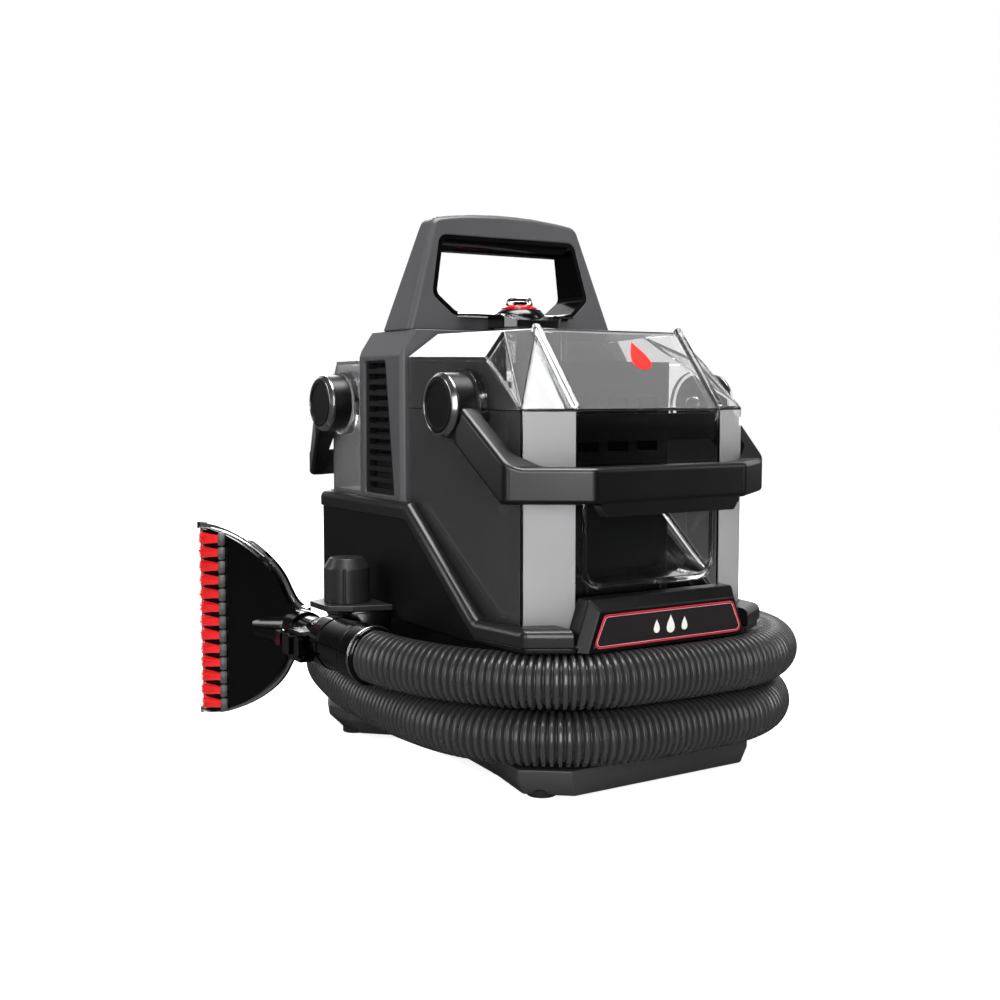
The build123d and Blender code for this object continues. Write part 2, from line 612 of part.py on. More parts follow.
def pump_body():
    """The solution pump: a gear head with a barbed inlet and outlet."""
    body = block((PUMP[0] - 17, PUMP[1] - 22, 22), (PUMP[0] + 17, PUMP[1] + 22, 72))
    body -= rod(14.0, 18, (PUMP[0], PUMP[1] - 14, 30), (0, 0, 1)) - rod(3.95 + RUNNING, 1, (0, 0, -50))
    body -= rod(4.0 + RUNNING, 14, (PUMP[0], PUMP[1] - 14, 47))
    body += rod(3.5, 14, (PUMP[0] - 8, PUMP[1] + 14, 72)) + rod(3.5, 14, (PUMP[0] - 10, PUMP[1] + 4, 72))
    return body


def pump_rotor():
    body = rod(4.0, 13, (PUMP[0], PUMP[1] - 14, 47.3)) + rod(7, 15.5, (PUMP[0], PUMP[1] - 14, 32))
    for i in range(5):
        wing = Pos(PUMP[0], PUMP[1] - 14, 39.7) * Rot(0, 0, 72 * i) * Pos(9.5, 0, 0) * Box(7.5, 2, 15)
        body += wing
    return body


def control_board():
    board = block((36, 30, 96), (80, 31.6, 150))
    for x, z, s in ((44, 104, 9), (60, 108, 12), (48, 128, 14), (70, 136, 8)):
        board += block((x - s / 2, 31.6, z - s / 2), (x + s / 2, 31.6 + s * 0.7, z + s / 2))
    board += block((40, 3.0 + SPINE_FRONT + 0.0, 100), (44, 30, 104)) + block((72, 3.0 + SPINE_FRONT, 142), (76, 30, 146))
    return board


def bent_tube(points, outer, inner, bend):
    """A round tube along a polyline with one bend radius."""
    path = FilletPolyline(*points, radius=bend)
    start = Plane(path @ 0, z_dir=path % 0)
    return sweep(start * (Circle(outer) - Circle(inner)), path=path)


def suction_duct():
    """From the air way in the spine's nose down to the fan's inlet."""
    x, y = MOTOR
    corners = [(x, y, 146.1), (x, y, 155.0), (x, 40, 155.0), (x, 40, 240), (0, 40, PORT_Z - 8), (0, -12.8, PORT_Z - 8)]
    return bent_tube(corners, 8.4, 7.0, 8.6)


def solution_tube():
    x, y = PUMP
    return bent_tube([(52, 106, RIM_Z - 35), (52, 106, 112), (x - 8, y + 14, 98), (x - 8, y + 14, 86.4)], 3.4, 2.0, 6)


def hose_elbow():
    """The spigot at the right rear that the hose leaves from."""
    end = HOSE_START[1] + 0.9
    elbow = bent_tube([(50, 112, 36), (HOSE_START[0], 112, 36), (HOSE_START[0], end, 36)], 15, 12, 16)
    collar = ring(17.0, 12, 2.4, (HOSE_START[0], end + 2.4, 36), (0, -1, 0))
    return elbow + collar


GLAND = (28.0, 131.0, 30.0)


def cord_gland():
    """The strain relief of the mains cord, low on the back."""
    gland = cone(8, 5.5, 19, GLAND, (0, 1, 0)) + rod(10, 3, GLAND, (0, 1, 0)) + rod(4, 6, (GLAND[0], GLAND[1] - 6, GLAND[2]), (0, 1, 0))
    for i in range(4):
        gland -= ring(12, 4.8, 1.6, (GLAND[0], GLAND[1] + 5 + i * 3.2, GLAND[2]), (0, 1, 0))
    return gland


def cord_hook(z, tip, back):
    """A hook in the recess on the back that the mains cord winds round; tip is +1 up or -1 down."""
    ends = sorted((z + 10 * tip, z - 7 * tip))
    hook = rod(HOOK_R, 162 - back, (0, back, z), (0, 1, 0)) + rod(7, 15.6, (0, max(back, 146.0) + (0.4 if tip > 0 else 0), z), (0, 1, 0))
    return hook + front_slab([(-10, ends[0]), (-10, ends[1]), (10, ends[1]), (10, ends[0])], 161, 164.6, 3)


# ---------------------------------------------------------------- hose, wand and tool
LOOP_X = 122.5  # half width and half length of the hose's loop, at its centre line
LOOP_Y = 164.0
LOOP_POWER = 3.3  # squareness of the loop
RIGHT_X = 131.0  # the loop bulges more on the right, and its upper turn most
RIGHT_POWER = 4.8
BULGE = 0.06
HOSE_START = (128.0, 92.0, 36.0)
HOSE_BORE = 28.0
PER_TURN = 14


def loop_points(count, begin, per_turn):
    """Points evenly spaced round a squarish loop, from the right side towards the front."""
    steps = 3600
    ring_pts = []
    for i in range(steps + 1):
        a = 2 * math.pi * i / steps
        c, s = (math.cos(a), -math.sin(a))
        wide, power = (RIGHT_X, RIGHT_POWER) if c > 0 else (LOOP_X, LOOP_POWER)
        r = (abs(c / wide) ** power + abs(s / LOOP_Y) ** power) ** (-1 / power)
        ring_pts.append((r * c, r * s))
    run = [0.0]
    for p, q in zip(ring_pts, ring_pts[1:]):
        run.append(run[-1] + math.dist(p, q))
    made = []
    for k in range(count):
        want = (begin + k / per_turn) * run[-1]
        want %= run[-1]
        j = next(i for i in range(steps) if run[i + 1] >= want)
        made.append(ring_pts[j])
    return made


def hose_points():
    """Corners of the hose's path: nearly two turns, then out to the wand's cuff."""
    points = [HOSE_START]
    count = 21
    begin = -0.03
    for k, (x, y) in enumerate(loop_points(count, begin, PER_TURN)):
        turn = begin + k / PER_TURN
        rise = min(max((turn - 0.52) / 0.34, 0.0), 1.0)
        if x > 0:
            x *= 1 + BULGE * rise
        points.append((x, y - 2.5, HOSE_LOW_Z + (HOSE_HIGH_Z - HOSE_LOW_Z) * rise))
    return points + [(-131.5, -68.0, 72.2), (-139.5, -40.0, 73.4), WAND]


def fillet_radii(points):
    """The radius at each corner: 0.45 of the shorter run over the tangent of half the turn."""
    made = []
    for a, b, c in zip(points, points[1:], points[2:]):
        u, v = (Vector(*b) - Vector(*a), Vector(*c) - Vector(*b))
        half = math.radians(u.get_angle(v)) / 2
        made.append(0.45 * min(u.length, v.length) / math.tan(half))
    return made


def hose():
    points = hose_points()
    radii = fillet_radii(points)
    path = FilletPolyline(*points, radius=radii)
    start = Plane(path @ 0, z_dir=path % 0)
    tube = sweep(start * (Circle(HOSE_D / 2) - Circle(HOSE_BORE / 2)), path=path)
    section = math.pi * (HOSE_D**2 - HOSE_BORE**2) / 4
    print("hose radii", [round(r) for r in radii])
    print("hose length", round(path.length), "volume ratio", round(tube.volume / (section * path.length), 4))
    return tube


AXIS = tuple((b - a) / math.dist(WAND, TOOL) for a, b in zip(WAND, TOOL))


def on_wand(distance, out=0.0, up=0.0):
    """A point on the wand's axis, moved outwards and up."""
    x, y, z = [a + distance * d for a, d in zip(WAND, AXIS)]
    return (x - out, y, z + up)


def wand_cuff():
    """The swivel cuff that joins the hose to the wand."""
    return ring(19.0, 14.4, 5.4, on_wand(0.6), AXIS) + ring(17.8, 14.4, 26, on_wand(6), AXIS)


def wand_body():
    """The grip, with two ears for the trigger and the spigot that the tool plugs on to."""
    body = rod(18.4, 12, on_wand(32.2), AXIS) + cone(18.4, 12.5, 22, on_wand(44.2), AXIS)
    body += rod(12.5, math.dist(WAND, TOOL) - 66.2, on_wand(66.2), AXIS)
    body += rod(10.8, 12, TOOL, AXIS)
    x, y, z = TRIGGER_PIN
    for low in (z - 10.4, z + 7.6):
        body += block((x - 5, y - 6, low), (-141, y + 14, low + 2.8))
    body -= block((x - 10, y - 9, z - 7.6), (-154, y + 22, z + 7.6))
    body += rod(2.0, 20, (x, y, z - 10))
    return body - rod(8.8, 140, on_wand(20), AXIS)


TRIGGER_PIN = (-160.0, 30.0, 72.0)


def wand_trigger():
    """The finger trigger on the wand's outer side, hinged at its front end."""
    x, y, z = TRIGGER_PIN
    lever = block((x - 5.4, y - 4, z - 7.2), (x + 2.6, y + 19, z + 7.2))
    lever += block((x - 7.4, y + 8, z - 7.2), (x - 3, y + 19, z + 7.2))
    lever = fillet(lever.edges().filter_by(Axis.X), 2)
    return lever - rod(2.0 + RUNNING, 30, (x, y, z - 15))


def wand_bracket():
    """The shelf on the casing's left side that carries the post and holds the wand."""
    edge = -SIDE_X - 0.02
    shelf = slab([(edge, 12), (-128, 20), (-143, 30), (-143, 58), (edge, 74)], 93.4, 97.4)
    return fillet(shelf.edges().filter_by(Axis.Z).filter_by_position(Axis.X, -146, -120), 3)


def accessory_post():
    """A post for a spare tool, with a chamfered head and a seam."""
    post = rod(16, 24, (-121, 43, 97.4)) + cone(16, 11.5, 7, (-121, 43, 121.4))
    a = math.radians(238)
    return post - rod(0.8, 40, (-121 + 16.2 * math.cos(a), 43 + 16.2 * math.sin(a), 97))


# Tool head: s runs along the fan from its root, h is half its height there.
FAN = [(-6, 12), (2, 15), (13.5, 32), (28.5, 47.5), (49.5, 60), (72, 67.5)]
MOUTH = 90.0
TUFTS = 13
TUFT_PITCH = 10.9
TOOL_ROOT = (-143.4, 74.0, 76.0)
LEAN = math.radians(TOOL_LEAN)
FAN_DIR = (-math.sin(LEAN), math.cos(LEAN), 0)
FAN_PLANE = Plane(TOOL_ROOT, x_dir=FAN_DIR, z_dir=(math.cos(LEAN), math.sin(LEAN), 0))


LATCH = on_wand(90, 14.7, -3)


def fan_outline(grow, end, end_h):
    """The bell-shaped outline of the tool, widened by grow and cut at s = end."""
    half = [(s, h + grow) for s, h in FAN] + [(end, end_h + grow)]
    upper = Spline(*half)
    lower = Spline(*[(s, -h) for s, h in reversed(half)])
    near = Line(upper @ 0, lower @ 1)
    far = Line(upper @ 1, lower @ 0)
    return make_face([upper, near, lower, far])


def fan_slab(sketch, low, high):
    return carried(Plane(FAN_PLANE.from_local_coords((0, 0, low)), x_dir=FAN_PLANE.x_dir, z_dir=FAN_PLANE.z_dir), sketch, high - low)


def tool_body():
    """The black front of the tool with its socket."""
    fan = fan_slab(fan_outline(0, 76, 68.3), -6.5, 0)
    fan -= fan_slab(fan_outline(-2.4, 80, 67), -4.3, 1)
    socket = rod(14.5, 14, on_wand(83.2), AXIS) + cone(14.5, 9.0, 34, on_wand(96.5), FAN_DIR)
    socket -= fan_slab(fan_outline(30, 120, 100), 0, 30)
    fan = fan + socket
    fan -= rod(10.8 + 0.35, 13, on_wand(83), AXIS)
    fan -= rod(8, 24, on_wand(90), FAN_DIR)
    x, y, z = LATCH
    return fan - block((x - 1, y - 5.5, z - 5.5), (x + 2.6, y + 5.5, z + 5.5))


def tool_window():
    """The clear back of the tool; its rim shows all round the black front."""
    window = fan_slab(fan_outline(2.2, MOUTH, 69.5), 0.05, 5.5)
    window -= fan_slab(fan_outline(-0.6, MOUTH + 2, 67), -1, 3.4)
    return window - cone(15.2, 9.6, 34, on_wand(96.5), FAN_DIR) - rod(15.2, 16, on_wand(83.2), AXIS)


def brush_strip():
    """The strip across the mouth that holds the bristle tufts."""
    strip = Box(3.6, 2 * 67.0, 5.4, align=(Align.MIN, Align.CENTER, Align.MIN))
    return FAN_PLANE * (Pos(76.2, 0, -6.2) * strip)


def brush_tufts():
    made = []
    for i in range(TUFTS):
        up = (i - (TUFTS - 1) / 2) * TUFT_PITCH * 0.93
        tuft = Pos(79.85, up, -3.4) * (Rot(0, 90, 0) * Cone(2.4, 4.3, 11.6, align=MID))
        made.append(FAN_PLANE * tuft)
    return Compound(children=made)


def tool_latch():
    """The sprung button that locks the tool on the wand."""
    x, y, z = LATCH
    latch = block((x - 4.5, y - 5, z - 5), (x + 0.0, y + 5, z + 5))
    return fillet(latch.edges().filter_by(Axis.X), 2)


PARTS = {
    "foot_plate": foot_plate,
    "rubber_feet": rubber_feet,
    "foot_screws": foot_screws,
    "waist_shell": waist_shell,
    "base_shell": base_shell,
    "base_rim": base_rim,
    "rear_cover": rear_cover,
    "name_plate": name_plate,
    "plate_border": plate_border,
    "spine_housing": spine_housing,
    "spine_nose": spine_nose,
    "vent_grille_left": lambda: vent_grille(-1),
    "vent_grille_right": lambda: vent_grille(1),
    "carry_handle": carry_handle,
    "handle_liner": handle_liner,
    "top_deck": top_deck,
    "power_button": power_button,
    "button_dome": button_dome,
    "power_switch": power_switch,
    "front_tank_shell": front_tank_shell,
    "front_tank_lid": front_tank_lid,
    "lid_ribs": lid_ribs,
    "tank_band": tank_band,
    "separator_tower": separator_tower,
    "tank_float": tank_float,
    "tank_seal": tank_seal,
    "rear_tank_shell": rear_tank_shell,
    "fill_cap": fill_cap,
    "tank_valve": tank_valve,
    "valve_cup": valve_cup,
    "front_bail": front_bail,
    "front_hub_rings": lambda: hub_rings(FRONT_HUB_Y),
    "front_hub_caps": lambda: hub_caps(FRONT_HUB_Y),
    "rear_bail": rear_bail,
    "rear_hub_rings": lambda: hub_rings(REAR_HUB_Y),
    "rear_hub_caps": lambda: hub_caps(REAR_HUB_Y),
    "motor_housing": motor_housing,
    "motor_mounts": motor_mounts,
    "motor_stator": motor_stator,
    "motor_rotor": motor_rotor,
    "pump_body": pump_body,
    "pump_rotor": pump_rotor,
    "control_board": control_board,
    "suction_duct": suction_duct,
    "solution_tube": solution_tube,
    "hose_elbow": hose_elbow,
    "cord_gland": cord_gland,
    "cord_hook_lower": lambda: cord_hook(114, -1, 146.0),
    "cord_hook_upper": lambda: cord_hook(HOOK_Z, 1, 141),
    "hose": hose,
    "wand_cuff": wand_cuff,
    "wand_body": wand_body,
    "wand_trigger": wand_trigger,
    "wand_bracket": wand_bracket,
    "accessory_post": accessory_post,
    "tool_body": tool_body,
    "tool_window": tool_window,
    "brush_strip": brush_strip,
    "brush_tufts": brush_tufts,
    "tool_latch": tool_latch,
}

os.makedirs("parts", exist_ok=True)
for name, make in PARTS.items():
    export_step(make(), f"parts/{name}.step")
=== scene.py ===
"""Looks of the spot extractor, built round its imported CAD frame. Metres, +Z up, -Y the front."""

import math
import random

import bmesh
import bpy
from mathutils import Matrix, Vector


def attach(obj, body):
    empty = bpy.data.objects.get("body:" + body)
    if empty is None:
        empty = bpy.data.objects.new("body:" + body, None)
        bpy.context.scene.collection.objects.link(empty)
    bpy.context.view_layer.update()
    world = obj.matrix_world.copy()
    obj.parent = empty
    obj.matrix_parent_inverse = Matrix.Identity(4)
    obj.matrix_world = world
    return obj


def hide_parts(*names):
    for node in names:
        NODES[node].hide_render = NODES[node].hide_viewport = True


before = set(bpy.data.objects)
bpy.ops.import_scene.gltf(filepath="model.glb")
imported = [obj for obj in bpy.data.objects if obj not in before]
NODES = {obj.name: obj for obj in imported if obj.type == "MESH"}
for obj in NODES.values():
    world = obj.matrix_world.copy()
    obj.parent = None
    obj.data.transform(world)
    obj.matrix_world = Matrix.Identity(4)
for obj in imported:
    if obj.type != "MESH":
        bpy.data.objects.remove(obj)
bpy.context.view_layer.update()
scene = bpy.context.scene
MM = 0.001

# ---------------------------------------------------------------- camera
CAMERA_AT = (-0.5099, -0.7724, 0.2438)
CAMERA_TURN = -32.32  # degrees clockwise from looking along +Y
CAMERA_DIP = 4.81  # degrees below the horizon
LENS = 46.53  # mm
SENSOR = 36.0  # mm

lens = bpy.data.cameras.new("camera")
lens.lens = LENS
lens.sensor_width = SENSOR
lens.clip_start = 0.01
camera = bpy.data.objects.new("camera", lens)
camera.location = CAMERA_AT
camera.rotation_euler = (math.radians(90 - CAMERA_DIP), 0, math.radians(CAMERA_TURN))
scene.collection.objects.link(camera)
scene.camera = camera
scene.view_settings.view_transform = "Standard"
scene.view_settings.look = "None"
scene.cycles.use_denoising = True
scene.cycles.max_bounces = 16
scene.cycles.transmission_bounces = 14
scene.cycles.transparent_max_bounces = 16
scene.cycles.caustics_reflective = False
scene.cycles.caustics_refractive = False


# ---------------------------------------------------------------- hose route
# The same points as part.py's, in metres.
LOOP_X = 0.1225
LOOP_Y = 0.164
LOOP_POWER = 3.3
RIGHT_X = 0.131
RIGHT_POWER = 4.8
BULGE = 0.06
HOSE_START = (0.128, 0.092, 0.036)
HOSE_LOW_Z = 0.036
HOSE_HIGH_Z = 0.0708
PER_TURN = 14
HOSE_POINTS = 21
HOSE_SHIFT_Y = -0.0025
BEGIN_TURN = -0.03
RISE_FROM = 0.52  # the turn at which the hose starts to climb over its first turn
RISE_TURNS = 0.34
WAND = (-0.140, -0.020, 0.074)


def loop_points(count, begin, per_turn):
    """Points evenly spaced round a squarish loop, from the right side towards the front."""
    steps = 3600
    loop = []
    for i in range(steps + 1):
        a = 2 * math.pi * i / steps
        c, s = (math.cos(a), -math.sin(a))
        wide, power = (RIGHT_X, RIGHT_POWER) if c > 0 else (LOOP_X, LOOP_POWER)
        r = (abs(c / wide) ** power + abs(s / LOOP_Y) ** power) ** (-1 / power)
        loop.append((r * c, r * s))
    run = [0.0]
    for p, q in zip(loop, loop[1:]):
        run.append(run[-1] + math.dist(p, q))
    made = []
    for k in range(count):
        want = (begin + k / per_turn) * run[-1] % run[-1]
        j = next(i for i in range(steps) if run[i + 1] >= want)
        made.append(loop[j])
    return made


def hose_points():
    """The route: out of its port, round the loop, up onto the first turn, and along to the wand."""
    points = [HOSE_START]
    for k, (x, y) in enumerate(loop_points(HOSE_POINTS, BEGIN_TURN, PER_TURN)):
        turn = BEGIN_TURN + k / PER_TURN
        rise = min(max((turn - RISE_FROM) / RISE_TURNS, 0.0), 1.0)
        if x > 0:
            x *= 1 + BULGE * rise
        points.append((x, y + HOSE_SHIFT_Y, HOSE_LOW_Z + (HOSE_HIGH_Z - HOSE_LOW_Z) * rise))
    return points + [(-0.1315, -0.068, 0.0722), (-0.1395, -0.040, 0.0734), WAND]


def spline_line(points, resolution=24):
    """Points along the NURBS curve that has the given control points."""
    data = bpy.data.curves.new("route", "CURVE")
    data.dimensions = "3D"
    data.resolution_u = resolution
    spline = data.splines.new("NURBS")
    spline.points.add(len(points) - 1)
    for place, p in zip(spline.points, points):
        place.co = (*p, 1.0)
    spline.order_u = 3
    spline.use_endpoint_u = True
    route = bpy.data.objects.new("route", data)
    scene.collection.objects.link(route)
    bpy.context.view_layer.update()
    mesh = bpy.data.meshes.new_from_object(route.evaluated_get(bpy.context.evaluated_depsgraph_get()))
    line = [v.co.copy() for v in mesh.vertices]
    bpy.data.objects.remove(route)
    bpy.data.curves.remove(data)
    bpy.data.meshes.remove(mesh)
    return line


def resample(line, step):
    """The line's points, moved to an even spacing."""
    made = [line[0].copy()]
    left = step
    for p, q in zip(line, line[1:]):
        gap = (q - p).length
        at = left
        while at <= gap:
            made.append(p.lerp(q, at / gap))
            at += step
        left = at - gap
    return made


def tube_mesh(name, line, radii, around, cap=True):
    """A tube of varying radius along a line, with its sections kept from twisting."""
    bm = bmesh.new()
    up = Vector((0, 0, 1))
    rings = []
    for i, p in enumerate(line):
        ahead = line[min(i + 1, len(line) - 1)] - line[max(i - 1, 0)]
        ahead.normalize()
        side = ahead.cross(up).normalized()
        top = side.cross(ahead)
        ring = []
        for k in range(around):
            a = 2 * math.pi * k / around
            ring.append(bm.verts.new(p + radii[i] * (math.cos(a) * side + math.sin(a) * top)))
        rings.append(ring)
    for a, b in zip(rings, rings[1:]):
        for k in range(around):
            n = (k + 1) % around
            bm.faces.new((a[k], a[n], b[n], b[k]))
    if cap:
        bm.faces.new(list(reversed(rings[0])))
        bm.faces.new(rings[-1])
    bmesh.ops.recalc_face_normals(bm, faces=bm.faces)
    return finish_mesh(name, bm)


def finish_mesh(name, bm, smooth=True):
    """Turns a bmesh into an object in the scene."""
    mesh = bpy.data.meshes.new(name)
    bm.to_mesh(mesh)
    bm.free()
    if smooth:
        mesh.shade_smooth()
    obj = bpy.data.objects.new(name, mesh)
    scene.collection.objects.link(obj)
    return obj


HOSE_R = 0.017
RIB_PITCH = 0.00455
RIB_STEPS = 12
RIB_DEPTH = 0.0034
GROOVE = 0.33  # half the groove's width, in pitches

route = spline_line(hose_points())
fine = resample(route, RIB_PITCH / RIB_STEPS)
radii = []
for i in range(len(fine)):
    off = abs((i / RIB_STEPS) % 1 - 0.5)
    radii.append(HOSE_R - RIB_DEPTH * (0.5 + 0.5 * math.cos(math.pi * min(1.0, off / GROOVE))))
hose = tube_mesh("hose_corrugated", fine, radii, 40)
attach(hose, "chassis")
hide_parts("hose")


# ---------------------------------------------------------------- materials
def srgb(r, g, b):
    """A linear colour from 0 to 255 display values."""
    def one(v):
        v /= 255.0
        return v / 12.92 if v <= 0.04045 else ((v + 0.055) / 1.055) ** 2.4
    return (one(r), one(g), one(b), 1.0)


def plastic(name, colour, rough, coat=0.0, grain=900.0, grain_depth=0.06, mottle=0.12, spread=0.05,
            **sockets):
    """A moulded plastic: a faint colour mottle, uneven gloss and a fine grain."""
    mat = bpy.data.materials.new(name)
    mat.use_nodes = True
    tree = mat.node_tree
    shader = tree.nodes["Principled BSDF"]
    where = tree.nodes.new("ShaderNodeTexCoord")
    cloud = tree.nodes.new("ShaderNodeTexNoise")
    cloud.inputs["Scale"].default_value = 38.0
    cloud.inputs["Detail"].default_value = 4.0
    tree.links.new(where.outputs["Object"], cloud.inputs["Vector"])
    tint = tree.nodes.new("ShaderNodeMix")
    tint.data_type = "RGBA"
    tint.inputs["A"].default_value = (*[c * (1 - mottle) for c in colour[:3]], 1)
    tint.inputs["B"].default_value = (*[min(1.0, c * (1 + mottle)) for c in colour[:3]], 1)
    tree.links.new(cloud.outputs["Fac"], tint.inputs["Factor"])
    tree.links.new(tint.outputs["Result"], shader.inputs["Base Color"])
    gloss = tree.nodes.new("ShaderNodeMapRange")
    gloss.inputs["To Min"].default_value = max(0.0, rough - spread)
    gloss.inputs["To Max"].default_value = rough + spread
    tree.links.new(cloud.outputs["Fac"], gloss.inputs["Value"])
    tree.links.new(gloss.outputs["Result"], shader.inputs["Roughness"])
    if grain_depth:
        speck = tree.nodes.new("ShaderNodeTexNoise")
        speck.inputs["Scale"].default_value = grain
        speck.inputs["Detail"].default_value = 2.0
        tree.links.new(where.outputs["Object"], speck.inputs["Vector"])
        bump = tree.nodes.new("ShaderNodeBump")
        bump.inputs["Strength"].default_value = grain_depth
        bump.inputs["Distance"].default_value = 0.0004
        tree.links.new(speck.outputs["Fac"], bump.inputs["Height"])
        tree.links.new(bump.outputs["Normal"], shader.inputs["Normal"])
    if coat:
        shader.inputs["Coat Weight"].default_value = coat
        shader.inputs["Coat Roughness"].default_value = 0.03
    for key, value in sockets.items():
        shader.inputs[key.replace("_", " ")].default_value = value
    return mat


def painted_facet_clear(name, body, painted_facets, middle):
    """Clear plastic with painted light and shade on its flat sides: each side is tinted lighter or
    darker by the way it faces.

    Each painted facet is (outward direction, sharpness, colour, amount), and middle is a point inside
    the part.
    """
    mat = plastic(name, body, 0.02, grain_depth=0, mottle=0.01, spread=0.01,
                  Transmission_Weight=1.0, IOR=1.45)
    tree = mat.node_tree
    out = tree.nodes["Material Output"]
    where = tree.nodes.new("ShaderNodeTexCoord")
    last = tree.nodes["Principled BSDF"].outputs["BSDF"]
    from_middle = tree.nodes.new("ShaderNodeVectorMath")
    from_middle.operation = "SUBTRACT"
    from_middle.inputs[1].default_value = middle
    tree.links.new(where.outputs["Object"], from_middle.inputs[0])
    outward = tree.nodes.new("ShaderNodeVectorMath")
    outward.operation = "DOT_PRODUCT"
    tree.links.new(from_middle.outputs[0], outward.inputs[0])
    tree.links.new(where.outputs["Normal"], outward.inputs[1])
    outside = tree.nodes.new("ShaderNodeMath")
    outside.operation = "GREATER_THAN"
    outside.inputs[1].default_value = 0.0
    tree.links.new(outward.outputs["Value"], outside.inputs[0])
    streak = tree.nodes.new("ShaderNodeTexNoise")
    streak.inputs["Scale"].default_value = 9.0
    stretch = tree.nodes.new("ShaderNodeMapping")
    stretch.inputs["Scale"].default_value = (1.0, 1.0, 0.12)
    tree.links.new(where.outputs["Object"], stretch.inputs["Vector"])
    tree.links.new(stretch.outputs["Vector"], streak.inputs["Vector"])
    # Each facet that faces the given way gets its colour mixed in as painted light or shade: painted
    # shade on the dark facets, painted highlight and reflection on the pale ones.
    for direction, sharp, colour, amount in painted_facets:
        facing = tree.nodes.new("ShaderNodeVectorMath")
        facing.operation = "DOT_PRODUCT"
        facing.inputs[1].default_value = Vector(direction).normalized()
        tree.links.new(where.outputs["Normal"], facing.inputs[0])
        ramp = tree.nodes.new("ShaderNodeMapRange")
        ramp.interpolation_type = "SMOOTHSTEP"
        ramp.inputs["From Min"].default_value = sharp
        ramp.inputs["From Max"].default_value = min(0.999, sharp + 0.04)
        ramp.inputs["To Max"].default_value = amount
        tree.links.new(facing.outputs["Value"], ramp.inputs["Value"])
        masked = tree.nodes.new("ShaderNodeMath")
        masked.operation = "MULTIPLY"
        tree.links.new(ramp.outputs["Result"], masked.inputs[0])
        tree.links.new(outside.outputs["Value"], masked.inputs[1])
        painted_tint = tree.nodes.new("ShaderNodeBsdfPrincipled")
        painted_tint.inputs["Roughness"].default_value = 0.12
        tone = tree.nodes.new("ShaderNodeMix")
        tone.data_type = "RGBA"
        tone.inputs["A"].default_value = (*[c * 0.86 for c in colour[:3]], 1)
        tone.inputs["B"].default_value = (*[min(1, c * 1.14) for c in colour[:3]], 1)
        tree.links.new(streak.outputs["Fac"], tone.inputs["Factor"])
        tree.links.new(tone.outputs["Result"], painted_tint.inputs["Base Color"])
        mix = tree.nodes.new("ShaderNodeMixShader")
        tree.links.new(masked.outputs["Value"], mix.inputs["Fac"])
        tree.links.new(last, mix.inputs[1])
        tree.links.new(painted_tint.outputs["BSDF"], mix.inputs[2])
        last = mix.outputs["Shader"]
    tree.links.new(last, out.inputs["Surface"])
    return mat


GLOSS_BLACK = plastic("gloss_black", srgb(3, 3, 3), 0.14, coat=0.1, grain_depth=0.01,
                      Specular_IOR_Level=0.35)
CASE_BLACK = plastic("case_black", srgb(9, 9, 10), 0.34, grain_depth=0.03, Specular_IOR_Level=0.3)
RIM_BLACK = plastic("rim_black", srgb(5, 5, 6), 0.20, coat=0.25, grain_depth=0.012)
SATIN_BLACK = plastic("satin_black", srgb(7, 7, 8), 0.30, grain_depth=0.03, Specular_IOR_Level=0.35)
MATT_BLACK = plastic("matt_black", srgb(10, 10, 11), 0.5, grain_depth=0.04, Specular_IOR_Level=0.3)
BAIL_BLACK = plastic("bail_black", srgb(6, 6, 7), 0.33, grain_depth=0.01)
ROLL_BLACK = plastic("roll_black", srgb(25, 25, 26), 0.30, grain_depth=0.02)
POST_BLACK = plastic("post_black", srgb(34, 34, 35), 0.34, grain_depth=0.03)
DARK_GREY = plastic("dark_grey", srgb(68, 68, 70), 0.38, grain_depth=0.05, mottle=0.05)
FOOT_GREY = plastic("foot_grey", srgb(58, 58, 59), 0.34, grain_depth=0.05, mottle=0.05)
STRIP_GREY = plastic("strip_grey", srgb(78, 78, 79), 0.4, grain_depth=0.05)
PLATE_BLACK = plastic("plate_black", srgb(30, 26, 27), 0.3, coat=0.15, grain_depth=0.01)
LINE_RED = plastic("line_red", srgb(190, 34, 52), 0.3, grain_depth=0.02)
LINE_PINK = plastic("line_pink", srgb(236, 150, 160), 0.3, grain_depth=0.02)
PRINT_PALE = plastic("print_pale", srgb(228, 226, 220), 0.4, grain_depth=0.02)
BADGE_RED = plastic("badge_red", srgb(250, 22, 8), 0.4, grain_depth=0.02)
RUBBER = plastic("rubber", srgb(22, 22, 22), 0.75, grain=1500, grain_depth=0.25)
STEEL = plastic("steel", srgb(160, 160, 163), 0.3, grain_depth=0.05, Metallic=1.0)
BRIGHT = plastic("bright_ring", srgb(176, 177, 179), 0.2, grain_depth=0.01, mottle=0.04, Metallic=1.0)
CLEAR = plastic("clear", (0.985, 0.987, 0.99, 1), 0.02, grain_depth=0.004, grain=300, mottle=0.008,
                spread=0.01, coat=0.5, Transmission_Weight=1.0, IOR=1.3)
